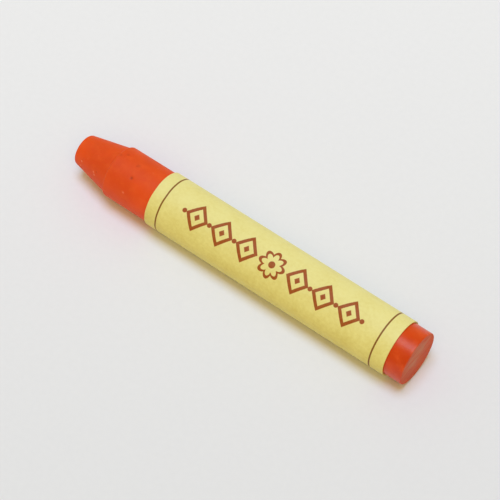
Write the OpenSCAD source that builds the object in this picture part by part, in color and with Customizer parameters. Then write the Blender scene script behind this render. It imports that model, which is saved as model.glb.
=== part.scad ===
// Wax stick crayon in a rolled paper label.
// Sizes are in millimetres. The crayon lies on its side along X, with its drawing tip
// at -X, its butt at +X and the surface it lies on at Z = 0.

/* [Wax stick] */
// Diameter of the wax barrel
stick_d = 12; // [9:0.1:20]
// Length from the end of the tip to the butt
stick_l = 86.5; // [80:0.5:140]
// Length of the drawing cone, from its shoulder to the end of the tip
cone_l = 9.75; // [6:0.05:16]
// Step from the barrel's radius in to the foot of the cone
shoulder_step = 0.4; // [0.2:0.05:1]
// Rounding of the barrel's edge at the shoulder
shoulder_round = 0.35; // [0.1:0.05:0.9]
// Diameter of the tip's blunt end, where its sharp edge would be
tip_d = 6.9; // [3:0.1:8]
// Rounding of the tip's edge
tip_round = 0.7; // [0.2:0.05:1.2]
// Rounding of the butt's edge
butt_round = 0.25; // [0.1:0.05:1]

/* [Paper label] */
// Length of the label along the stick
label_l = 60.8; // [30:0.2:68]
// Bare wax between the label and the butt
label_setback = 4.15; // [1:0.05:6]
// Thickness of the paper
paper_t = 0.13; // [0.08:0.01:0.3]
// Thickness of the glue between the two turns
glue_t = 0.02; // [0.01:0.005:0.06]
// Running gap all round between the wax and the paper
sleeve_gap = 0.06; // [0.02:0.01:0.1]
// Width of the valley at the seam, from the label's outer end to the top of the climb
seam_w = 2.1; // [1.2:0.1:2.3]
// Width over which the paper climbs from its first turn to its second
climb_w = 0.7; // [0.4:0.05:0.8]
// Width from the top of the climb to the paper's starting edge, underneath
start_w = 0.25; // [0.15:0.05:1]

/* [Hidden] */
$fn = 96;

stick_r = stick_d / 2;
cone_foot_r = stick_r - shoulder_step;
tip_r = tip_d / 2;
barrel_l = stick_l - cone_l;
// Slight angle at which the tip's rounding meets the cone's side and its blunt end
tip_corner_angle = 5;

// Radii of the two turns of paper, from the wax outwards
inner_turn_r = stick_r + sleeve_gap;
glue_r = inner_turn_r + paper_t;
outer_turn_r = glue_r + glue_t;
label_r = outer_turn_r + paper_t;

// Extra turn by which the climb laps each end of the turns it joins
climb_lap_angle = 0.5;
// Share of its own length by which the climb runs on into those turns
climb_run_on = 0.3;

// Places round the label, as angles from straight up towards the back. The crayon lies on the
// two edges of the seam's valley, with the valley's middle straight down.
seam_half_angle = asin(seam_w / 2 / label_r);
seam_angle = 180 - seam_half_angle;
climb_top_angle = 180 + seam_half_angle + climb_lap_angle;
climb_foot_angle = climb_top_angle - arc_angle(climb_w);
start_edge_angle = climb_top_angle + arc_angle(start_w);
axis_h = label_r * cos(seam_half_angle);

// Colours of the wax, the paper and the dried glue
wax_colour = [0.87, 0.31, 0.12];
paper_colour = [0.89, 0.84, 0.52];
glue_colour = [0.93, 0.90, 0.78];

// Angle that a width takes up on the outside of the label
function arc_angle(width) = width / label_r * 180 / PI;

// Point at a radius and an angle
function polar(r, angle) = r * [cos(angle), sin(angle)];

// Point on a line, past its far end
function beyond(near, far) = far + climb_run_on * (far - near);

// Lays a piece that was drawn up the Z axis, with Z = 0 at the butt, along the crayon's axis
module lay_down() {
    translate([stick_l / 2, 0, axis_h])
        rotate([0, -90, 0])
            children();
}

// Half outline of a rod with a rounded edge at its far end
module rod_outline(r, l, round) {
    square([r - round, l]);
    square([r, l - round]);
    translate([r - round, l - round])
        circle(round);
}

// Half outline of the barrel, rounded at the shoulder and at the butt
module barrel_outline() {
    intersection() {
        rod_outline(stick_r, barrel_l, shoulder_round);
        translate([0, barrel_l])
            mirror([0, 1])
                rod_outline(stick_r, barrel_l, butt_round);
    }
}

// Half outline of the drawing cone, sunk into the barrel and rounded at the tip's edge
module cone_outline() {
    sunk = barrel_l - shoulder_round;
    side_angle = atan((cone_foot_r - tip_r) / cone_l);
    inset = tip_round * cos(tip_corner_angle);
    foot_l = inset / tan((90 + side_angle) / 2);
    arc_r = tip_r - foot_l;
    intersection() {
        polygon([[0, sunk], [cone_foot_r, sunk], [cone_foot_r, barrel_l], [tip_r, stick_l], [0, stick_l]]);
        union() {
            square([arc_r, stick_l]);
            square([stick_r, stick_l - foot_l * cos(side_angle)]);
            translate([arc_r, stick_l - inset])
                circle(tip_round);
        }
    }
}

// The stick is cast in one piece: barrel, shoulder and drawing cone
module wax_stick() {
    color(wax_colour)
        lay_down()
            rotate_extrude() {
                barrel_outline();
                cone_outline();
            }
}

// Wedge from one angle anticlockwise to another, less than half a turn, reaching past the label
module wedge(from, to) {
    reach = 2 * label_r;
    polygon([[0, 0], polar(reach, from), polar(reach, to)]);
}

// Section of one turn of a sheet, open over the wedge between two angles
module turn_section(r, thickness, open_from, open_to) {
    difference() {
        circle(r + thickness);
        circle(r);
        wedge(open_from, open_to);
    }
}

// Section of the short flat where the sheet climbs over its own starting edge. The flat is
// trimmed to the label's inner and outer circles.
module climb_section() {
    outer_foot = polar(glue_r, climb_foot_angle - climb_lap_angle);
    outer_top = polar(label_r, climb_top_angle - climb_lap_angle);
    inner_foot = polar(inner_turn_r, climb_foot_angle + climb_lap_angle);
    inner_top = polar(outer_turn_r, climb_top_angle + climb_lap_angle);
    intersection() {
        difference() {
            circle(label_r);
            circle(inner_turn_r);
        }
        polygon([
            beyond(outer_top, outer_foot),
            beyond(outer_foot, outer_top),
            beyond(inner_foot, inner_top),
            beyond(inner_top, inner_foot),
        ]);
    }
}

// Places a length of label section on the stick
module on_label() {
    lay_down()
        translate([0, 0, label_setback])
            linear_extrude(label_l)
                children();
}

// The label is one sheet of paper, rolled round the stick almost twice
module paper_label() {
    color(paper_colour)
        on_label() {
            turn_section(inner_turn_r, paper_t, climb_foot_angle, start_edge_angle);
            climb_section();
            turn_section(outer_turn_r, paper_t, seam_angle, climb_top_angle);
        }
}

// The film of glue holds the second turn of paper to the first
module label_glue() {
    color(glue_colour)
        on_label()
            turn_section(glue_r, glue_t, seam_angle, start_edge_angle);
}

wax_stick();
paper_label();
label_glue();
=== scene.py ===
"""Wax stick crayon in a rolled paper label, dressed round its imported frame.

The crayon lies along X with its drawing tip at -X. Angles round it are measured from straight
up towards the back, which is +Y. Lengths are in metres unless a name says millimetres.
"""
import math

import bpy
import numpy as np
from bpy.props import FloatProperty, FloatVectorProperty, PointerProperty
from mathutils import Matrix, Vector


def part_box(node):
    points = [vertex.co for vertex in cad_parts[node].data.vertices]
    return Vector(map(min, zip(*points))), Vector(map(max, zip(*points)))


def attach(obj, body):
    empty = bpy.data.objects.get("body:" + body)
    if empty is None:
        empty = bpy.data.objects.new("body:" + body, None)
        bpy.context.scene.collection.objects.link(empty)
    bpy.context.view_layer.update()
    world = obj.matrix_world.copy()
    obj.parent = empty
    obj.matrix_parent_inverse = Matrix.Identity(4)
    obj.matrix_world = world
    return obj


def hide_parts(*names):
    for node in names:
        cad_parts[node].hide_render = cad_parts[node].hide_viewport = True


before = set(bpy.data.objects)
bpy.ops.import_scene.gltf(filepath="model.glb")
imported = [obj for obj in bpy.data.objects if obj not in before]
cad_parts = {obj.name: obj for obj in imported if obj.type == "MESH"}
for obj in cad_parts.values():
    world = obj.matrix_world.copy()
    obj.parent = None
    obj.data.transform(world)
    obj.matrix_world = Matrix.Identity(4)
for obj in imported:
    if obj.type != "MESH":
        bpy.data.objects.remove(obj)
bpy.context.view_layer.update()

bl_info = {
    "name": "Wax Stick Crayon",
    "version": (1, 0, 0),
    "blender": (4, 5, 0),
    "location": "3D View > Sidebar > Crayon",
    "description": "Builds a wax stick crayon in a rolled paper label round its packed frame",
    "category": "Add Mesh",
}

MM = 0.001
PER_MM = 1000.0

wax_low, wax_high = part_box("wax_stick")
label_low, label_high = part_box("paper_label")
AXIS_HEIGHT = (wax_low.z + wax_high.z) / 2

PIECES = ("crayon_wax", "crayon_label", "crayon_glue")

# Points round the wax, and points round and stations along the two rolled sheets
WAX_COLUMNS = 240
LABEL_POINTS = 330
LABEL_STATIONS = 97
GLUE_POINTS = 200
GLUE_STATIONS = 60

# Share of a rolled sheet's UV square at each end that holds its cut ends
CUT_SHARE = 0.01

# Edges of the rolled sheets that turn by more than this stay sharp
SHARP_ANGLE = math.radians(50)

# Slow waves in the cast wax: waves in a turn, radians along X for each millimetre, radians at the
# start, and weight
WAX_WAVES = (
    (3, 0.11, 0.0, 1.0),
    (2, -0.23, 1.3, 1.0),
    (5, 0.37, 0.5, 0.6),
)

# Marks cast or rubbed into the wax: place along X in millimetres, angle from straight up towards
# the front in degrees, size and height in millimetres, and tint. A pit has a height below zero,
# and its tint, also below zero, makes it darker: painted shade in its hollow.
WAX_MARKS = (
    (-27.76, 26.1, 0.36, -0.14, -0.55),
    (-28.08, 61.7, 0.22, 0.025, 0.55),
    (-40.75, 65.1, 0.18, 0.08, 0.80),
    (-40.88, 83.6, 0.17, 0.08, 0.70),
    (-36.85, 66.0, 0.18, 0.07, 0.75),
    (-36.50, 72.5, 0.20, 0.07, 0.75),
    (-36.10, 60.5, 0.22, -0.06, -0.35),
    (-32.98, -3.9, 0.34, -0.02, -0.26),
    (-31.83, -13.6, 0.42, -0.02, -0.28),
    (-28.19, -3.7, 0.50, -0.02, -0.26),
    (42.95, -38.0, 0.25, -0.09, -0.25),
    (43.00, 118.0, 0.30, -0.12, -0.25),
)

# Marks scattered over the rest of the wax: how many, and the range of each of the same values
SCATTERED_MARKS = 60
SCATTER_RANGES = ((-42.0, 42.6), (0.0, 360.0), (0.12, 0.24), (-0.04, 0.02), (-0.25, 0.25))
MARK_SEED = 11

# Places along X between which the wax goes from as cast to rubbed dull by use; over the same span its
# colour goes from deep to bright, a painted light that leaves the butt end darker
RUB_START = 30.0 * MM
RUB_END = -20.0 * MM

# Width of the pale edge at the shoulder, the least of it, at the top and the back, and the sine
# of the angle towards the front from which it is whole
PALE_EDGE_WIDTH = 0.4 * MM
LEAST_PALE_EDGE = 0.35
WHOLLY_PALE_EDGE = 2 / 3

# X part of the outward direction at which the wax begins to belong to the butt's dish and to its
# rough skin, and at which it fully does
BUTT_DISH = (0.9, 1.0)
BUTT_SKIN = (0.45, 0.95)

# The butt's dull patch, a greyish bloom that is in part a painted sheen: its middle towards +Y and +Z, the
# reach of its full and of its least dullness from there, all as shares of the barrel's radius, and the
# least dullness
DULL_MIDDLE = (-0.1, 0.4)
DULL_REACH = (0.4, 1.0)
LEAST_DULL = 0.25

# Angle from the seam's edge to the top of the paper's climb
SEAM_MARGIN = math.radians(0.5)

# Waves in the cut edges of the paper and the glue: radians for each radian round the stick, and
# radians at the start
RAGGED_WAVES = ((7.3, 0.0), (11.9, 0.8))
BRUSHED_WAVES = ((5.1, 0.0), (8.7, 1.1), (2.3, 0.0))

# The ornament. Places along a row are in pitches from the rosette's middle, as a middle and a half
# length. Sizes are shares of the pitch, of a lozenge, of half the ornament's height, or millimetres.
LOZENGE_ROW = (2.0, 1.5)
DOT_ROW = (2.5, 1.25)
LOZENGE_HALF_WIDTH = 0.36
KERNEL_EDGE = (0.26, 0.34)
PETALS = 8
PETAL_FOOT = 0.70
PETAL_SWELL = 0.34
DOT_RADIUS_MM = 0.52
EYE_RADIUS_MM = 0.75
INK_EDGE_MM = 0.05
RING_EDGE_MM = 0.04
INK_SPREAD_MM = 0.12

# Places round the label, from the ornament's middle, between which its painted sheen, a paler band over the
# label's top, comes and goes
SHEEN_START_MM = (-6.0, 3.0)
SHEEN_END_MM = (9.0, 17.0)

FLOOR_LINES = 9
SENSOR_MM = 36.0

# Layout of a material's nodes in the editor: nodes in a row, and the steps to the right and down
NODES_IN_ROW = 12
NODE_STEP = (180, -220)


def painted(red, green, blue):
    """Linear light of a colour given by its screen values from 0 to 255, by the sRGB curve."""
    screen = np.array([red, green, blue]) / 255
    light = np.where(screen <= 0.04045, screen / 12.92, ((screen + 0.055) / 1.055) ** 2.4)
    return tuple(float(value) for value in light)


def length(name, description, default):
    """A length that the user can change, in metres."""
    return FloatProperty(
        name=name, description=description, default=default, min=0.0, precision=5,
        subtype="DISTANCE", unit="LENGTH",
    )


def colour(name, description, default):
    """A colour that the user can change."""
    return FloatVectorProperty(
        name=name, description=description, default=default, size=3, min=0.0, max=1.0,
        subtype="COLOR",
    )


def turn_angle(name, description, degrees):
    """An angle that the user can change."""
    return FloatProperty(
        name=name, description=description, default=math.radians(degrees),
        subtype="ANGLE", unit="ROTATION",
    )


def strength(name, description, default):
    """A plain number that the user can change, zero or more."""
    return FloatProperty(name=name, description=description, default=default, min=0.0)


class WaxSettings(bpy.types.PropertyGroup):
    """Sizes and colours of the cast wax stick"""

    stick_radius: length("Barrel radius", "Radius of the wax barrel", (wax_high.y - wax_low.y) / 2)
    cone_length: length("Cone length", "Length of the drawing cone from its shoulder to the tip", 9.75 * MM)
    shoulder_step: length("Shoulder step", "Step from the barrel in to the foot of the cone", 0.4 * MM)
    shoulder_round: length("Shoulder rounding", "Rounding of the barrel's edge at the shoulder", 0.35 * MM)
    tip_radius: length("Tip radius", "Radius of the blunt tip where its sharp edge would be", 3.45 * MM)
    tip_round: length("Tip rounding", "Rounding of the tip's edge", 0.7 * MM)
    butt_round: length("Butt rounding", "Rounding of the butt's edge", 0.25 * MM)
    butt_dish: length("Butt dish", "Depth to which the butt sank as the wax cooled", 0.07 * MM)
    unevenness: length("Unevenness", "Height of the slow waves in the cast surface", 0.012 * MM)
    # Bright and deep wax mix by a real cloudy tone and by a painted light that darkens the butt end
    bright_colour: colour("Bright wax", "Colour of clean wax", painted(222, 74, 3))
    deep_colour: colour("Deep wax", "Colour where the pigment lies denser", painted(191, 53, 0))
    chalk_colour: colour("Chalky wax", "Colour of the faint bloom on handled wax", painted(222, 88, 30))
    # Pale specks laid on the small bumps
    pale_speck_colour: colour("Crumbs", "Colour of the pale crumbs of wax", painted(238, 150, 112))
    # Painted sheen in part: the butt's grey also stands for the pale reflection on its face
    butt_bloom_and_sheen_colour: colour("Butt", "Dull colour of the butt's cast face", painted(194, 121, 92))
    # Painted shade: this dark colour is laid into the hollows of the pits
    pit_shade_colour: colour("Pits", "Colour inside the small pits", painted(122, 24, 8))


class LabelSettings(bpy.types.PropertyGroup):
    """Sizes and colours of the rolled paper label and its glue"""

    label_radius: length("Label radius", "Outside radius of the label", (label_high.y - label_low.y) / 2)
    paper_thickness: length("Paper thickness", "Thickness of the paper", 0.13 * MM)
    glue_thickness: length("Glue thickness", "Thickness of the glue between the turns", 0.02 * MM)
    seam_width: length("Seam width", "Width of the valley at the seam, underneath", 2.1 * MM)
    climb_width: length("Climb width", "Width over which the paper climbs to its second turn", 0.7 * MM)
    start_width: length("Start width", "Width from the top of the climb to the starting edge", 0.25 * MM)
    glue_setback: length("Glue setback", "Distance from the label's ends to the brushed glue", 0.6 * MM)
    glue_wander: length("Glue wander", "Height of each wave in the glue's brushed edges", 0.12 * MM)
    edge_drift: length("Edge drift", "Distance by which the paper's start lies inside its end", 0.06 * MM)
    edge_ragged: length("Ragged edge", "Height of each wave in the label's tip edge", 0.012 * MM)
    paper_colour: colour("Paper", "Main colour of the printed paper", painted(222, 210, 122))
    mottle_colour: colour("Paper mottle", "Colour of the paper's thinner patches", painted(209, 193, 100))
    # Painted sheen: this paler paper colour is laid in a band over the label's top
    painted_sheen_colour: colour("Faded paper", "Colour of paper that light has faded", painted(224, 217, 146))
    inside_colour: colour("Paper inside", "Colour of the paper's unprinted side", painted(232, 222, 178))
    ink_colour: colour("Ink", "Colour of the printed lines and ornaments", painted(148, 63, 0))
    ring_colour: colour("Ring ink", "Colour of the two printed rings", painted(120, 68, 0))
    glue_colour: colour("Glue", "Colour of the dried glue", painted(237, 230, 199))
    tip_ring: length("Tip ring", "Distance from the label's tip end to its ring", 2.86 * MM)
    butt_ring: length("Butt ring", "Distance from the label's butt end to its ring", 3.35 * MM)
    ring_width: length("Ring width", "Width of the printed rings", 0.36 * MM)
    print_angle: turn_angle("Print angle", "Angle of the ornament from the top towards the front", 23.609)
    motif_pitch: length("Motif pitch", "Distance from one lozenge to the next", 6.4 * MM)
    motif_height: length("Motif height", "Height of the ornament round the label", 5.4 * MM)
    stroke_width: length("Stroke width", "Width of the ornament's drawn lines", 0.72 * MM)


class StageSettings(bpy.types.PropertyGroup):
    """Camera, floor and light"""

    azimuth: turn_angle("Camera azimuth", "Angle of the camera round the crayon", 37.005)
    elevation: turn_angle("Camera elevation", "Angle of the camera above the floor", 56.77)
    distance: length("Camera distance", "Distance of the camera from what it looks at", 414.6 * MM)
    aim_right: length("Aim right", "Distance of the camera's aim to the right of mid-stick", 1.015 * MM)
    aim_up: length("Aim up", "Distance of the camera's aim above mid-stick in the view", 0.119 * MM)
    lens: FloatProperty(name="Lens", description="Focal length of the camera", default=144.0, unit="CAMERA")
    floor_reach: length("Floor reach", "Distance from the middle of the floor to its edges", 3.0)
    # Painted light: the floor is paler behind the crayon and darker in front, a painted light falloff
    far_colour: colour("Floor behind", "Colour of the floor behind the crayon", painted(238, 238, 237))
    near_colour: colour(
        "Floor in front", "Colour of the floor in front of the crayon", painted(224, 224, 223)
    )
    blend_reach: length("Floor blend", "Distance each way over which the floor changes colour", 0.13)
    floor_azimuth: turn_angle("Floor azimuth", "Angle of the floor's front round the crayon", 37.005)
    warm_colour: colour("Warm light", "Colour of the dome and the two cards", (1.0, 0.87, 0.52))
    fill_colour: colour("Fill light", "Colour of the fill", (1.0, 0.68, 0.28))
    dome_share: strength("Dome", "Warm light on the floor from all round", 0.48)
    fill_share: strength("Fill", "Warm light on the floor from in front", 0.23)
    fill_azimuth: turn_angle("Fill azimuth", "Angle of the fill round the crayon", 37.005)
    fill_elevation: turn_angle("Fill elevation", "Angle of the fill above the floor", 60.0)
    front_share: strength("Front card", "Light that the front card would bring to the floor", 0.035)
    back_share: strength("Back card", "Light that the back card would bring to the floor", 0.07)
    card_elevation: turn_angle("Card elevation", "Angle of the two cards above the floor", 15.0)
    card_azimuth: turn_angle("Card azimuth", "Angle by which the line of the two cards is turned", 20.0)
    fill_spread: turn_angle("Fill spread", "Angle that the fill and each card take up", 50.0)
    key_lean: turn_angle("Key lean", "Angle of the soft key from straight up towards the tip", 1.0)
    key_front: turn_angle("Key front", "Angle of the soft key from straight up towards the front", 2.0)
    key_spread: turn_angle("Key spread", "Angle that the soft key takes up in the sky", 28.0)


def passed(value, start, end):
    """How far a value has gone from a start to an end, held from 0 to 1."""
    return np.clip((value - start) / (end - start), 0.0, 1.0)


def straight(start, end, steps):
    """Points at even steps along a line, with its start and without its end."""
    share = np.linspace(0.0, 1.0, steps, endpoint=False)[:, None]
    return np.array(start) + share * (np.array(end) - np.array(start))


def arc(centre, radius, start, end, steps):
    """Points at even steps round a circle, from one angle to another, without the last."""
    turn = np.linspace(start, end, steps, endpoint=False)
    return np.array(centre) + radius * np.stack([np.cos(turn), np.sin(turn)], axis=1)


def wax_outline(wax):
    """Half outline of the stick as rows of distance along X and radius.

    It runs from the butt's middle over the rounded rim, along the barrel, round the shoulder,
    down the cone and over the rounded tip to the tip's middle. The tip's rounding touches the
    cone's side and the blunt end, so its centre lies in from their corner by the rounding
    divided by the tangent of half their angle. The two middle points are left out.
    """
    butt = wax_high.x
    tip = wax_low.x
    shoulder = tip + wax.cone_length
    foot_radius = wax.stick_radius - wax.shoulder_step
    rim_radius = wax.stick_radius - wax.butt_round
    edge_radius = wax.stick_radius - wax.shoulder_round
    slope = math.atan((foot_radius - wax.tip_radius) / wax.cone_length)
    end_radius = wax.tip_radius - wax.tip_round / math.tan((math.pi / 2 + slope) / 2)
    tip_centre = (tip + wax.tip_round, end_radius)
    cone_end = (
        tip_centre[0] - wax.tip_round * math.sin(slope),
        tip_centre[1] + wax.tip_round * math.cos(slope),
    )
    barrel_radius = wax.stick_radius
    pieces = (
        straight((butt, 0.0), (butt, rim_radius), 22)[1:],
        arc((butt - wax.butt_round, rim_radius), wax.butt_round, 0.0, math.pi / 2, 8),
        straight((butt - wax.butt_round, barrel_radius), (label_high.x, barrel_radius), 26),
        straight((label_high.x, barrel_radius), (label_low.x, barrel_radius), 80),
        straight((label_low.x, barrel_radius), (shoulder + wax.shoulder_round, barrel_radius), 70),
        arc((shoulder + wax.shoulder_round, edge_radius), wax.shoulder_round, math.pi / 2, math.pi, 8),
        straight((shoulder, edge_radius), (shoulder, foot_radius), 2),
        straight((shoulder, foot_radius), cone_end, 56),
        arc(tip_centre, wax.tip_round, math.pi / 2 + slope, math.pi, 12),
        straight((tip, end_radius), (tip, 0.0), 14),
    )
    return np.concatenate(pieces)


def wax_marks():
    """Pits and pale specks as columns of place along X, angle, size, height and tint.

    After the listed ones come others, scattered by a seeded draw over the barrel and the cone.
    """
    draw = np.random.default_rng(MARK_SEED)
    scattered = [draw.uniform(low, high, SCATTERED_MARKS) for low, high in SCATTER_RANGES]
    marks = np.concatenate([np.array(WAX_MARKS), np.stack(scattered, axis=1)])
    units = np.array([MM, -math.radians(1.0), MM, MM, 1.0])
    return (marks * units).T


def wax_surface(wax):
    """The stick's surface, as points on rows of rings, with the finish of each point.

    The outline is turned about the axis. Each point then moves along the outline's outward
    direction by the sum of three slow waves round and along the stick, and of one bell curve for
    each mark: its height times e to the minus square of the distance from it over its size. The
    butt sinks by the dish times one minus the square of the share of its radius.

    The finish says how much a point is part of the butt, dull (in part a painted sheen), on the pale
    shoulder edge, rubbed and painted lighter, and marked.
    """
    outline = wax_outline(wax)
    angle = np.linspace(0.0, 2 * math.pi, WAX_COLUMNS, endpoint=False)[None, :]
    along = outline[:, :1]
    radius = outline[:, 1:]
    step = np.gradient(outline, axis=0)
    step /= np.linalg.norm(step, axis=1, keepdims=True)
    out_x = step[:, 1:]
    out_r = -step[:, :1]

    share = np.minimum(radius / wax.stick_radius, 1.0)
    waves = 0.0
    weights = 0.0
    for count, pace, start, weight in WAX_WAVES:
        waves = waves + weight * np.sin(count * angle + pace * along * PER_MM + start)
        weights += weight
    lift = wax.unevenness * (waves / weights - 1.0) * share

    mark_x, mark_angle, mark_size, mark_height, mark_tint = wax_marks()
    mark_radius = np.interp(mark_x, outline[::-1, 0], outline[::-1, 1])
    mark_y = mark_radius * np.sin(mark_angle)
    mark_z = mark_radius * np.cos(mark_angle)
    spots = np.stack([mark_x, mark_y, mark_z], axis=1)
    off_y = radius * np.sin(angle)
    off_z = radius * np.cos(angle)
    smooth = np.stack([along + 0.0 * angle, off_y, off_z], axis=-1)
    apart = (smooth ** 2).sum(axis=-1)[..., None] + (spots ** 2).sum(axis=1) - 2 * smooth @ spots.T
    bells = np.exp(-np.maximum(apart, 0.0) / mark_size ** 2)
    lift = lift + bells @ mark_height

    dished = passed(out_x, *BUTT_DISH)
    lift = lift - wax.butt_dish * dished * (1.0 - share ** 2)

    ring_x = along + out_x * lift
    ring_r = radius + out_r * lift
    rings = np.stack(
        [ring_x, ring_r * np.sin(angle), AXIS_HEIGHT + ring_r * np.cos(angle)], axis=-1
    )

    butt = passed(out_x, *BUTT_SKIN)
    patch_y = off_y / wax.stick_radius - DULL_MIDDLE[0]
    patch_z = off_z / wax.stick_radius - DULL_MIDDLE[1]
    patch = passed(np.hypot(patch_y, patch_z), DULL_REACH[1], DULL_REACH[0])
    edge = wax_low.x + wax.cone_length + wax.shoulder_round / 2
    # A pale band along the shoulder's edge, stronger towards the front
    pale_edge = np.exp(-(((along - edge) / PALE_EDGE_WIDTH) ** 2))
    front = passed(-np.sin(angle), 0.0, WHOLLY_PALE_EDGE)
    finish = {
        "butt": butt + 0.0 * angle,
        # The dull grey on the butt is a bloom and in part a painted sheen
        "dull": butt * (LEAST_DULL + (1.0 - LEAST_DULL) * patch),
        "pale_edge": pale_edge * (LEAST_PALE_EDGE + (1.0 - LEAST_PALE_EDGE) * front),
        # Painted light as well as wear: this share also paints the wax brighter towards the tip
        "rubbed_and_painted_light": passed(along, RUB_START, RUB_END) + 0.0 * angle,
        "mark": np.clip(bells @ mark_tint, -1.0, 1.0),
    }
    return rings, finish


def ring_faces(rows, columns):
    """Quads between neighbouring rows of points, where each row closes on itself."""
    row, column = np.meshgrid(np.arange(rows - 1), np.arange(columns), indexing="ij")
    beside = (column + 1) % columns
    corners = (
        row * columns + column,
        row * columns + beside,
        (row + 1) * columns + beside,
        (row + 1) * columns + column,
    )
    return np.stack(corners, axis=-1).reshape(-1, 4)


def pole_faces(row_start, columns, pole):
    """Triangles from a pole to the ring of points that starts at a number, seen in ring order."""
    column = np.arange(columns)
    beside = (column + 1) % columns
    return np.stack([np.full(columns, pole), row_start + column, row_start + beside], axis=1)


def wavy(turn, waves, height):
    """Sum of sine waves along an array of angles, all of one height."""
    return height * sum(np.sin(pace * turn + start) for pace, start in waves)


def add_piece(name, points, faces, material):
    """A mesh object at the origin, smooth all over, with its place in its points."""
    mesh = bpy.data.meshes.new(name)
    mesh.from_pydata(points.tolist(), [], faces)
    mesh.polygons.foreach_set("use_smooth", np.ones(len(mesh.polygons), dtype=bool))
    mesh.materials.append(material)
    mesh.update()
    piece = bpy.data.objects.new(name, mesh)
    bpy.context.scene.collection.objects.link(piece)
    return piece


def seam_places(label):
    """Angles of the seam's parts, straight down being half a turn.

    Half the seam's angle is the arcsine of half its width over the label's radius. The climb ends
    one margin past it, the climb's foot lies one climb width before that, and the paper's starting
    edge one start width after it.
    """
    half = math.asin(label.seam_width / 2 / label.label_radius)
    top = math.pi + half + SEAM_MARGIN
    foot = top - label.climb_width / label.label_radius
    start = top + label.start_width / label.label_radius
    return math.pi - half, foot, top, start


def label_path(label):
    """The rolled paper: angles, radius of its inner face, and places of its butt and tip edges.

    It starts beside the seam and goes almost twice round. Over the climb its radius grows by one
    thickness of paper and one of glue, times three squares less two cubes of the share of the climb
    that is passed. Both edges lie in by the drift times the share of the sheet still to come, and
    two sine waves make the tip edge ragged.
    """
    seam, foot, top, start = seam_places(label)
    turn = np.linspace(start, seam + 4 * math.pi, LABEL_POINTS)
    rise = label.paper_thickness + label.glue_thickness
    climb = passed(turn, foot + 2 * math.pi, top + 2 * math.pi)
    first_radius = label.label_radius - rise - label.paper_thickness
    inner = first_radius + rise * climb ** 2 * (3 - 2 * climb)
    drift = label.edge_drift * (1.0 - passed(turn, turn[0], turn[-1]))
    butt_edge = label_high.x - drift
    tip_edge = label_low.x + drift + wavy(turn, RAGGED_WAVES, label.edge_ragged)
    return turn, inner, butt_edge, tip_edge


def glue_path(label):
    """The film of glue: angles, radius of its inner face, and places of its butt and tip edges.

    It lies between the two turns, from the paper's starting edge to the seam. Its edges are set back
    from the label's and moved by three sine waves.
    """
    seam, _, _, start = seam_places(label)
    turn = np.linspace(start, seam + 2 * math.pi, GLUE_POINTS)
    radius = label.label_radius - label.paper_thickness - label.glue_thickness
    wander = wavy(turn, BRUSHED_WAVES, label.glue_wander)
    butt_edge = label_high.x - label.glue_setback + wander
    tip_edge = label_low.x + label.glue_setback + wander[::-1]
    return turn, np.full_like(turn, radius), butt_edge, tip_edge


def rolled_sheet(turn, inner, thickness, butt_edge, tip_edge, stations):
    """A closed sheet rolled about the axis: points, faces, UV pairs of the faces' corners, distances.

    The sheet follows an array of angles, with the radius of its inner face at each one, and runs
    from its butt edge to its tip edge in even stations. A row of points goes along the outer face
    and back along the inner one. U is the station and V the distance along the row, both as
    shares. The cut ends join the two faces, in strips at the two ends of U. The distance along the
    row to each of its points, and back to the first, is given as well.
    """
    count = len(turn)
    columns = 2 * count
    round_trip = np.concatenate([turn, turn[::-1]])
    radius = np.concatenate([inner + thickness, inner[::-1]])
    first = np.concatenate([butt_edge, butt_edge[::-1]])
    last = np.concatenate([tip_edge, tip_edge[::-1]])
    station = np.linspace(0.0, 1.0, stations)[:, None]
    along = first + station * (last - first)
    section_y = radius * np.sin(round_trip)
    section_z = AXIS_HEIGHT + radius * np.cos(round_trip)
    points = np.stack([along, section_y + 0.0 * along, section_z + 0.0 * along], axis=-1)

    quads = ring_faces(stations, columns)
    outer = np.arange(count - 1)
    inner_side = columns - 1 - outer
    butt_end = np.stack([inner_side, inner_side - 1, outer + 1, outer], axis=1)
    tip_end = np.stack([outer, outer + 1, inner_side - 1, inner_side], axis=1) + (stations - 1) * columns
    faces = np.concatenate([quads, butt_end, tip_end])

    hop = np.hypot(np.diff(section_y, append=section_y[0]), np.diff(section_z, append=section_z[0]))
    trip = np.concatenate([[0.0], np.cumsum(hop)])
    share = trip / trip[-1]
    row, column = np.meshgrid(np.arange(stations - 1), np.arange(columns), indexing="ij")
    spread = (1.0 - 2 * CUT_SHARE) / (stations - 1)
    near_u = CUT_SHARE + row * spread
    far_u = near_u + spread
    near_v = share[column]
    far_v = share[column + 1]
    sheet_u = np.stack([near_u, near_u, far_u, far_u], axis=-1).reshape(-1, 4)
    sheet_v = np.stack([near_v, far_v, far_v, near_v], axis=-1).reshape(-1, 4)
    butt_u = np.tile([0.0, 0.0, CUT_SHARE, CUT_SHARE], (count - 1, 1))
    tip_u = 1.0 - butt_u[:, ::-1]
    end_v = np.stack([share[outer], share[outer + 1], share[outer + 1], share[outer]], axis=1)
    uv = np.stack(
        [np.concatenate([sheet_u, butt_u, tip_u]), np.concatenate([sheet_v, end_v, end_v])], axis=-1
    )
    return points.reshape(-1, 3), faces, uv, trip


def hang_uv(piece, uv):
    """Gives a piece its UV map from an array with a pair for each face corner."""
    layer = piece.data.uv_layers.new(name="sheet")
    layer.data.foreach_set("uv", np.ascontiguousarray(uv, dtype=np.float32).ravel())


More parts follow.
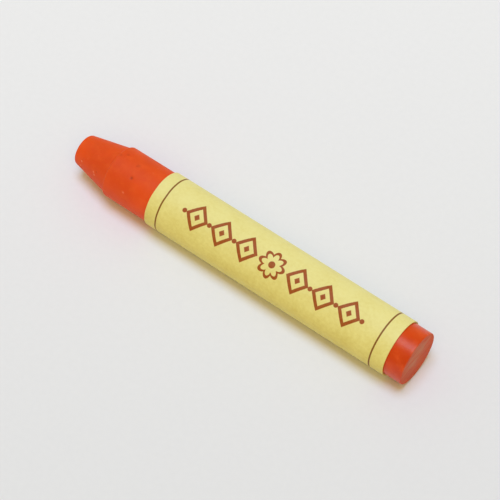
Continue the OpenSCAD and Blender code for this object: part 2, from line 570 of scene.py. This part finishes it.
class Bench:
    """Adds nodes to a tree and links them: a socket is linked, and a number is set."""

    def __init__(self, tree):
        self.tree = tree

    def add(self, kind, inputs, out=0, **options):
        """Adds a node with its options and inputs, and gives one of its outputs, or the node."""
        node = self.tree.nodes.new(kind)
        row, column = divmod(len(self.tree.nodes), NODES_IN_ROW)
        node.location = (column * NODE_STEP[0], row * NODE_STEP[1])
        for name, value in options.items():
            setattr(node, name, value)
        for place, value in inputs.items():
            self.feed(node.inputs[place], value)
        return node if out is None else node.outputs[out]

    def feed(self, socket, value):
        """Links a socket to an input, or sets the input to a number, a colour or a vector."""
        if isinstance(value, bpy.types.NodeSocket):
            self.tree.links.new(value, socket)
        elif socket.type == "RGBA":
            socket.default_value = (*value, 1.0)
        else:
            socket.default_value = value

    def math(self, operation, first, second=0.0, third=0.0):
        """One sum on up to three values, by the name of its operation."""
        return self.add("ShaderNodeMath", {0: first, 1: second, 2: third}, operation=operation)

    def mix(self, factor, first, second):
        """The first colour, turning into the second as the factor goes from 0 to 1."""
        inputs = {"Factor": factor, 6: first, 7: second}
        return self.add("ShaderNodeMix", inputs, out=2, data_type="RGBA")

    def apart(self, first, second):
        """Distance between two values."""
        return self.math("ABSOLUTE", self.math("SUBTRACT", first, second))

    def span(self, first, second):
        """Square root of the sum of two squares."""
        squares = self.math("ADD", self.math("POWER", first, 2.0), self.math("POWER", second, 2.0))
        return self.math("SQRT", squares)

    def noise(self, vector, scale, detail, roughness=0.55):
        """Cloudy values about one half, at a scale per unit of the vector."""
        inputs = {"Vector": vector, "Scale": scale, "Detail": detail, "Roughness": roughness}
        return self.add("ShaderNodeTexNoise", inputs)

    def ramp(self, value, source, target):
        """A value taken from one pair of ends to another, and held at the ends."""
        low, high = source
        start, end = target
        inputs = {"Value": value, "From Min": low, "From Max": high, "To Min": start, "To Max": end}
        return self.add("ShaderNodeMapRange", inputs)

    def within(self, value, limit, edge):
        """One where a value is below a limit, falling to zero across a soft edge each way."""
        return self.ramp(value, (limit - edge, limit + edge), (1.0, 0.0))

    def stretch(self, vector, scale):
        """A vector times a scale for each axis."""
        return self.add("ShaderNodeMapping", {"Vector": vector, "Scale": scale})

    def attribute(self, name):
        """A value that the mesh carries at its points."""
        return self.add("ShaderNodeAttribute", {}, out="Fac", attribute_name=name)


def new_finish(name):
    """A material with a principled shader, the bench for its nodes and the shader itself."""
    material = bpy.data.materials.new(name)
    material.use_nodes = True
    return material, Bench(material.node_tree), material.node_tree.nodes["Principled BSDF"]


def wax_finish(wax):
    """Cast pigmented wax: cloudy colour, a faint chalky bloom, a dull butt that is in part a painted sheen,
    painted light towards the tip, painted shade in the pits, and pale specks.
    """
    material, bench, shader = new_finish("cast_wax")
    place = bench.add("ShaderNodeTexCoord", {}, out="Object")
    mm = bench.stretch(place, (PER_MM, PER_MM, PER_MM))
    broad = bench.noise(mm, scale=0.12, detail=2.0)
    cloud = bench.noise(mm, scale=0.55, detail=4.0)
    grain = bench.noise(mm, scale=4.5, detail=3.0)
    streaks = bench.noise(bench.stretch(mm, (0.2, 0.3, 1.3)), scale=1.0, detail=4.0)

    rubbed_and_painted_light = bench.attribute("rubbed_and_painted_light")
    # Painted light: the rubbed share also mixes the colour towards bright wax at the tip end
    brighter = bench.math("MULTIPLY_ADD", rubbed_and_painted_light, 0.5, bench.ramp(broad, (0.38, 0.62), (0.05, 0.45)))
    base = bench.mix(brighter, wax.deep_colour, wax.bright_colour)
    chalk = bench.ramp(cloud, (0.48, 0.78), (0.0, 0.5))
    base = bench.mix(chalk, base, wax.chalk_colour)
    # Pale band along the shoulder's edge, mixed towards chalky wax
    pale_edge = bench.math("MULTIPLY", bench.attribute("pale_edge"), bench.ramp(grain, (0.3, 0.7), (0.15, 0.5)))
    base = bench.mix(pale_edge, base, wax.chalk_colour)
    streaky = bench.ramp(streaks, (0.36, 0.62), (0.25, 1.0))
    # Painted sheen in part: the butt's dull grey also stands for the reflection on its face
    dull = bench.math("MULTIPLY", bench.attribute("dull"), streaky)
    base = bench.mix(dull, base, wax.butt_bloom_and_sheen_colour)
    mark = bench.attribute("mark")
    # Pale specks: marks with a tint above zero turn pale
    base = bench.mix(bench.ramp(mark, (0.05, 0.9), (0.0, 0.9)), base, wax.pale_speck_colour)
    # Painted shade: marks with a tint below zero, the pits among them, are painted dark
    base = bench.mix(bench.ramp(mark, (-0.05, -0.9), (0.0, 0.9)), base, wax.pit_shade_colour)
    bench.feed(shader.inputs["Base Color"], base)

    rough = bench.ramp(cloud, (0.3, 0.7), (0.28, 0.37))
    rough = bench.math("MULTIPLY_ADD", rubbed_and_painted_light, 0.3, rough)
    rough = bench.math("MULTIPLY_ADD", bench.attribute("butt"), 0.42, rough)
    bench.feed(shader.inputs["Roughness"], rough)
    height = bench.math("MULTIPLY_ADD", grain, 0.35, bench.math("MULTIPLY", cloud, 0.65))
    bump = bench.add("ShaderNodeBump", {"Strength": 0.6, "Distance": 0.05 * MM, "Height": height})
    bench.feed(shader.inputs["Normal"], bump)
    shader.inputs["IOR"].default_value = 1.44
    shader.inputs["Specular IOR Level"].default_value = 0.5
    shader.inputs["Specular Tint"].default_value = (1.0, 1.0, 0.72, 1.0)
    shader.inputs["Subsurface Weight"].default_value = 0.2
    shader.inputs["Subsurface Radius"].default_value = (1.0, 0.35, 0.15)
    shader.inputs["Subsurface Scale"].default_value = 0.6 * MM
    return material


def ornament_mask(bench, label, across, around):
    """Ink of a rosette between rows of lozenges and dots, from millimetres across and around.

    A lozenge's line is where the sum of the two distances from its middle, each as a share of its
    half size, comes near one. The rosette's line is where the distance from its middle comes near
    a radius that swells eight times in a turn.
    """
    pitch = label.motif_pitch * PER_MM
    half_height = label.motif_height * PER_MM / 2
    half_width = LOZENGE_HALF_WIDTH * pitch
    half_stroke = label.stroke_width * PER_MM / 2
    far = bench.math("ABSOLUTE", across)
    rise = bench.math("ABSOLUTE", around)

    def in_row(middle, half):
        """One where the distance from the rosette is within half a row of the row's middle."""
        return bench.math("LESS_THAN", bench.apart(far, middle * pitch), half * pitch)

    step = bench.math("ABSOLUTE", bench.math("WRAP", across, pitch / 2, -pitch / 2))
    step_share = bench.math("DIVIDE", step, half_width)
    shares = bench.math("ADD", step_share, bench.math("DIVIDE", rise, half_height))
    to_gap = half_width * half_height / math.hypot(half_width, half_height)
    gap = bench.math("MULTIPLY", bench.apart(shares, 1.0), to_gap)
    lozenge = bench.within(gap, half_stroke, INK_EDGE_MM)
    kernel = bench.ramp(shares, KERNEL_EDGE, (1.0, 0.0))
    lozenges = bench.math("MULTIPLY", bench.math("MAXIMUM", lozenge, kernel), in_row(*LOZENGE_ROW))

    between = bench.math("WRAP", bench.math("ADD", across, pitch / 2), pitch / 2, -pitch / 2)
    dot = bench.within(bench.span(between, rise), DOT_RADIUS_MM, INK_EDGE_MM)
    dots = bench.math("MULTIPLY", dot, in_row(*DOT_ROW))

    reach = bench.span(far, rise)
    turn = bench.math("ARCTAN2", around, across)
    swell = bench.math("ABSOLUTE", bench.math("COSINE", bench.math("MULTIPLY", turn, PETALS / 2)))
    petal = bench.math("MULTIPLY_ADD", swell, PETAL_SWELL * half_height, PETAL_FOOT * half_height)
    petals = bench.within(bench.apart(reach, petal), half_stroke, INK_EDGE_MM)
    eye = bench.within(reach, EYE_RADIUS_MM, INK_EDGE_MM)
    rosette = bench.math("MAXIMUM", petals, eye)
    return bench.math("MAXIMUM", bench.math("MAXIMUM", lozenges, dots), rosette)


def paper_finish(label, row_length, outer_length, print_place):
    """Dyed label paper: mottled fibres, a painted sheen over its top, a plain inner side, and printing on
    its outer side.

    The UV map gives the place on the sheet in millimetres: across from mid-label towards the tip,
    and along the row of points that goes over the outer face and back over the inner one. It needs
    the lengths of the row and of its outer part, and the ornament's place on it, all in metres.
    """
    material, bench, shader = new_finish("printed_paper")
    uv = bench.add("ShaderNodeUVMap", {}, uv_map="sheet")
    split = bench.add("ShaderNodeSeparateXYZ", {"Vector": uv}, out=None)
    length_mm = (label_high.x - label_low.x) * PER_MM
    from_middle = bench.math("SUBTRACT", split.outputs[0], 0.5)
    across = bench.math("MULTIPLY", from_middle, length_mm / (1 - 2 * CUT_SHARE))
    along = bench.math("MULTIPLY", split.outputs[1], row_length * PER_MM)
    around = bench.math("SUBTRACT", along, print_place * PER_MM)
    sheet = bench.add("ShaderNodeCombineXYZ", {0: across, 1: along})

    mottle = bench.noise(sheet, scale=1.3, detail=5.0, roughness=0.65)
    cloud = bench.noise(sheet, scale=0.22, detail=2.0)
    fibre = bench.noise(bench.stretch(sheet, (3.0, 11.0, 1.0)), scale=1.0, detail=4.0)
    patch = bench.math("MULTIPLY_ADD", mottle, 0.6, bench.math("MULTIPLY", cloud, 0.4))
    patch_ends = (0.36, 0.64)
    paper = bench.mix(bench.ramp(patch, patch_ends, (0.0, 1.0)), label.mottle_colour, label.paper_colour)
    # Painted sheen: the paper turns paler in a band over its top, between the places above
    comes = bench.ramp(around, SHEEN_START_MM, (0.0, 0.9))
    goes = bench.ramp(around, SHEEN_END_MM, (1.0, 0.0))
    patchy = bench.ramp(patch, patch_ends, (0.65, 1.0))
    painted_sheen = bench.math("MULTIPLY", bench.math("MULTIPLY", comes, goes), patchy)
    paper = bench.mix(painted_sheen, paper, label.painted_sheen_colour)

    spread = bench.math("MULTIPLY", bench.math("SUBTRACT", fibre, 0.5), INK_SPREAD_MM)
    thinned = bench.ramp(mottle, (0.25, 0.7), (1.0, 0.92))
    inked = ornament_mask(
        bench, label, bench.math("ADD", across, spread), bench.math("ADD", around, spread)
    )
    paper = bench.mix(bench.math("MULTIPLY", inked, thinned), paper, label.ink_colour)

    butt_gap = bench.apart(across, label.butt_ring * PER_MM - length_mm / 2)
    tip_gap = bench.apart(across, length_mm / 2 - label.tip_ring * PER_MM)
    ring_gap = bench.math("MINIMUM", butt_gap, tip_gap)
    ring_gap = bench.math("MULTIPLY_ADD", spread, 0.4, ring_gap)
    rings = bench.within(ring_gap, label.ring_width * PER_MM / 2, RING_EDGE_MM)
    paper = bench.mix(bench.math("MULTIPLY", rings, thinned), paper, label.ring_colour)

    inner_side = bench.math("GREATER_THAN", along, outer_length * PER_MM)
    blotches = bench.ramp(patch, patch_ends, (0.0, 0.35))
    inside = bench.mix(blotches, label.inside_colour, label.mottle_colour)
    paper = bench.mix(inner_side, paper, inside)
    bench.feed(shader.inputs["Base Color"], paper)

    rough = bench.ramp(mottle, (0.3, 0.7), (0.46, 0.6))
    bench.feed(shader.inputs["Roughness"], rough)
    height = bench.math("MULTIPLY_ADD", fibre, 0.5, bench.math("MULTIPLY", mottle, 0.5))
    bump = bench.add("ShaderNodeBump", {"Strength": 0.45, "Distance": 0.03 * MM, "Height": height})
    bench.feed(shader.inputs["Normal"], bump)
    shader.inputs["IOR"].default_value = 1.5
    shader.inputs["Specular IOR Level"].default_value = 0.25
    return material


def glue_finish(label):
    """Dried paste: cream, with darker brush streaks and an uneven gloss."""
    material, bench, shader = new_finish("dried_glue")
    place = bench.add("ShaderNodeTexCoord", {}, out="Object")
    brushed = bench.stretch(place, (0.3 * PER_MM, 2.0 * PER_MM, 2.0 * PER_MM))
    streak = bench.noise(brushed, scale=1.0, detail=3.0)
    darker = tuple(0.72 * value for value in label.glue_colour)
    bench.feed(shader.inputs["Base Color"], bench.mix(streak, darker, label.glue_colour))
    bench.feed(shader.inputs["Roughness"], bench.ramp(streak, (0.3, 0.7), (0.3, 0.55)))
    bump = bench.add("ShaderNodeBump", {"Strength": 0.4, "Distance": 0.01 * MM, "Height": streak})
    bench.feed(shader.inputs["Normal"], bump)
    return material


def floor_finish(stage):
    """Plain pale card with a very faint grain, painted a little darker in front of the crayon as a light
    falloff.
    """
    material, bench, shader = new_finish("pale_floor")
    place = bench.add("ShaderNodeTexCoord", {}, out="Object")
    back = (-math.sin(stage.floor_azimuth), math.cos(stage.floor_azimuth), 0.0)
    behind = bench.add("ShaderNodeVectorMath", {0: place, 1: back}, out="Value", operation="DOT_PRODUCT")
    # Painted light falloff: the floor's colour goes from the darker front to the paler back
    change = {"Value": behind, "From Min": -stage.blend_reach, "From Max": stage.blend_reach}
    painted_falloff = bench.add("ShaderNodeMapRange", change, interpolation_type="SMOOTHSTEP")
    card = bench.mix(painted_falloff, stage.near_colour, stage.far_colour)
    grain = bench.noise(bench.stretch(place, (PER_MM, PER_MM, PER_MM)), scale=0.8, detail=3.0)
    speckled = bench.mix(bench.ramp(grain, (0.3, 0.7), (0.0, 0.015)), card, (0.0, 0.0, 0.0))
    bench.feed(shader.inputs["Base Color"], speckled)
    shader.inputs["Roughness"].default_value = 0.9
    shader.inputs["Specular IOR Level"].default_value = 0.1
    return material


def direction(azimuth, elevation):
    """Unit vector towards an azimuth, counted from the front towards the butt, and an elevation."""
    level = math.cos(elevation)
    return Vector((level * math.sin(azimuth), -level * math.cos(azimuth), math.sin(elevation)))


class CRAYON_OT_wax_stick(bpy.types.Operator):
    """Casts the wax stick: barrel, shoulder, drawing cone and butt in one closed skin"""

    bl_idname = "crayon.wax_stick"
    bl_label = "Cast Wax Stick"

    def execute(self, context):
        wax = context.scene.crayon_wax
        rings, finish = wax_surface(wax)
        rows, columns = rings.shape[:2]
        poles = np.array(
            [
                [wax_high.x - wax.butt_dish, 0.0, AXIS_HEIGHT],
                [wax_low.x, 0.0, AXIS_HEIGHT],
            ]
        )
        points = np.concatenate([rings.reshape(-1, 3), poles])
        butt_pole = rows * columns
        butt_fan = pole_faces(0, columns, butt_pole)[:, ::-1]
        tip_fan = pole_faces((rows - 1) * columns, columns, butt_pole + 1)
        faces = ring_faces(rows, columns).tolist() + butt_fan.tolist() + tip_fan.tolist()
        piece = add_piece("crayon_wax", points, faces, wax_finish(wax))
        for name, values in finish.items():
            carried = piece.data.attributes.new(name, "FLOAT", "POINT")
            at_poles = [values[0].mean(), values[-1].mean()]
            carried.data.foreach_set("value", np.append(values.ravel(), at_poles).astype(np.float32))
        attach(piece, "stick")
        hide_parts("wax_stick")
        return {"FINISHED"}


class CRAYON_OT_paper_label(bpy.types.Operator):
    """Rolls the printed paper label almost twice round the stick"""

    bl_idname = "crayon.paper_label"
    bl_label = "Roll Paper Label"

    def execute(self, context):
        label = context.scene.crayon_label
        turn, inner, butt_edge, tip_edge = label_path(label)
        points, faces, uv, trip = rolled_sheet(
            turn, inner, label.paper_thickness, butt_edge, tip_edge, LABEL_STATIONS
        )
        outer_trip = trip[:LABEL_POINTS]
        print_place = np.interp(4 * math.pi - label.print_angle, turn, outer_trip)
        material = paper_finish(label, trip[-1], outer_trip[-1], print_place)
        piece = add_piece("crayon_label", points, faces.tolist(), material)
        hang_uv(piece, uv)
        piece.data.set_sharp_from_angle(angle=SHARP_ANGLE)
        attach(piece, "label")
        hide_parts("paper_label")
        return {"FINISHED"}


class CRAYON_OT_label_glue(bpy.types.Operator):
    """Brushes the film of glue between the label's two turns"""

    bl_idname = "crayon.label_glue"
    bl_label = "Brush Label Glue"

    def execute(self, context):
        label = context.scene.crayon_label
        turn, inner, butt_edge, tip_edge = glue_path(label)
        points, faces, uv, _ = rolled_sheet(
            turn, inner, label.glue_thickness, butt_edge, tip_edge, GLUE_STATIONS
        )
        piece = add_piece("crayon_glue", points, faces.tolist(), glue_finish(label))
        hang_uv(piece, uv)
        piece.data.set_sharp_from_angle(angle=SHARP_ANGLE)
        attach(piece, "label")
        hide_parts("label_glue")
        return {"FINISHED"}


class CRAYON_OT_stage(bpy.types.Operator):
    """Sets the floor, the soft light and the camera"""

    bl_idname = "crayon.stage"
    bl_label = "Set Stage"

    def execute(self, context):
        stage = context.scene.crayon_stage
        self.lay_floor(stage)
        self.light_world(context, stage)
        self.hang_key(context, stage)
        fill = stage.fill_share * np.array(stage.fill_colour)
        self.hang_fill(context, stage, "fill", fill, stage.fill_azimuth, stage.fill_elevation)
        self.hang_cards(context, stage)
        self.place_camera(context, stage)
        context.scene.view_settings.view_transform = "Standard"
        return {"FINISHED"}

    def lay_floor(self, stage):
        """A level grid of points from one edge of the floor to the other."""
        reach = np.linspace(-stage.floor_reach, stage.floor_reach, FLOOR_LINES)
        grid_x, grid_y = np.meshgrid(reach, reach, indexing="ij")
        points = np.stack([grid_x, grid_y, 0.0 * grid_x], axis=-1).reshape(-1, 3)
        square = np.arange(FLOOR_LINES - 1)
        row, column = np.meshgrid(square, square, indexing="ij")
        corner = row * FLOOR_LINES + column
        across = corner + FLOOR_LINES
        faces = np.stack([corner, across, across + 1, corner + 1], axis=-1).reshape(-1, 4)
        add_piece("floor", points, faces.tolist(), floor_finish(stage))

    def light_world(self, context, stage):
        """Even warm light from all round."""
        world = bpy.data.worlds.new("studio")
        world.use_nodes = True
        sky = world.node_tree.nodes["Background"]
        sky.inputs["Color"].default_value = (*stage.warm_colour, 1.0)
        sky.inputs["Strength"].default_value = stage.dome_share
        context.scene.world = world

    def hang_key(self, context, stage):
        """One soft light above, with the colour and strength that make the floor's light white.

        Its light on the floor is one, less the dome's and the fill's shares times their colours.
        """
        warm = stage.dome_share * np.array(stage.warm_colour)
        missing = 1.0 - warm - stage.fill_share * np.array(stage.fill_colour)
        towards = Vector((-math.tan(stage.key_lean), -math.tan(stage.key_front), 1.0)).normalized()
        self.hang_sun(context, "soft_key", towards, stage.key_spread, missing)

    def hang_fill(self, context, stage, name, light, azimuth, elevation):
        """One broad warm light from an azimuth and an elevation, not seen in gloss."""
        towards = direction(azimuth, elevation)
        holder = self.hang_sun(context, name, towards, stage.fill_spread, light)
        holder.visible_glossy = False
        return holder

    def hang_cards(self, context, stage):
        """Two low warm lights, in front and behind, which light the crayon and not the floor."""
        crayon = bpy.data.collections.new("crayon")
        for name in PIECES:
            crayon.objects.link(bpy.data.objects[name])
        cards = (
            ("front_card", stage.front_share, stage.card_azimuth),
            ("back_card", stage.back_share, stage.card_azimuth + math.pi),
        )
        for name, share, azimuth in cards:
            light = share * np.array(stage.warm_colour)
            card = self.hang_fill(context, stage, name, light, azimuth, stage.card_elevation)
            card.light_linking.receiver_collection = crayon

    def hang_sun(self, context, name, towards, spread, light):
        """A far light, even over the whole floor, which brings the floor a given colour of light.

        Its strength is pi times that light, over the height part of its direction.
        """
        lamp = bpy.data.lights.new(name, "SUN")
        lamp.angle = spread
        lamp.color = light / light.max()
        lamp.energy = light.max() * math.pi / towards.z
        holder = bpy.data.objects.new(name, lamp)
        turned = towards.to_track_quat("Z", "Y").to_matrix().to_4x4()
        holder.matrix_world = Matrix.Translation(towards) @ turned
        context.scene.collection.objects.link(holder)
        return holder

    def place_camera(self, context, stage):
        """A camera looking at a point beside mid-stick, from its azimuth and elevation."""
        back = direction(stage.azimuth, stage.elevation)
        right = Vector((math.cos(stage.azimuth), math.sin(stage.azimuth), 0.0))
        up = back.cross(right)
        aim = Vector((0.0, 0.0, AXIS_HEIGHT)) + right * stage.aim_right + up * stage.aim_up
        lens = bpy.data.cameras.new("camera")
        lens.lens = stage.lens
        lens.sensor_width = SENSOR_MM
        holder = bpy.data.objects.new("camera", lens)
        turned = Matrix((right, up, back)).transposed().to_4x4()
        holder.matrix_world = Matrix.Translation(aim + back * stage.distance) @ turned
        context.scene.collection.objects.link(holder)
        context.scene.camera = holder


class CRAYON_PT_build(bpy.types.Panel):
    """Lists the crayon's pieces and its stage"""

    bl_idname = "CRAYON_PT_build"
    bl_label = "Wax Stick Crayon"
    bl_space_type = "VIEW_3D"
    bl_region_type = "UI"
    bl_category = "Crayon"

    def draw(self, context):
        for operator in STEPS:
            self.layout.operator(operator)
        for settings in SETTINGS:
            box = self.layout.box()
            group = getattr(context.scene, settings)
            for name in group.__annotations__:
                box.prop(group, name)


STEPS = ("crayon.wax_stick", "crayon.paper_label", "crayon.label_glue", "crayon.stage")
SETTINGS = {
    "crayon_wax": WaxSettings,
    "crayon_label": LabelSettings,
    "crayon_stage": StageSettings,
}
CLASSES = (
    WaxSettings,
    LabelSettings,
    StageSettings,
    CRAYON_OT_wax_stick,
    CRAYON_OT_paper_label,
    CRAYON_OT_label_glue,
    CRAYON_OT_stage,
    CRAYON_PT_build,
)


def register():
    """Makes the classes and the settings known to Blender."""
    for cls in CLASSES:
        bpy.utils.register_class(cls)
    for name, group in SETTINGS.items():
        setattr(bpy.types.Scene, name, PointerProperty(type=group))


def unregister():
    """Takes the settings and the classes out again."""
    for name in SETTINGS:
        delattr(bpy.types.Scene, name)
    for cls in reversed(CLASSES):
        bpy.utils.unregister_class(cls)


def main():
    """Builds the pieces and the stage in order."""
    register()
    bpy.ops.crayon.wax_stick()
    bpy.ops.crayon.paper_label()
    bpy.ops.crayon.label_glue()
    bpy.ops.crayon.stage()


if __name__ == "__main__":
    main()
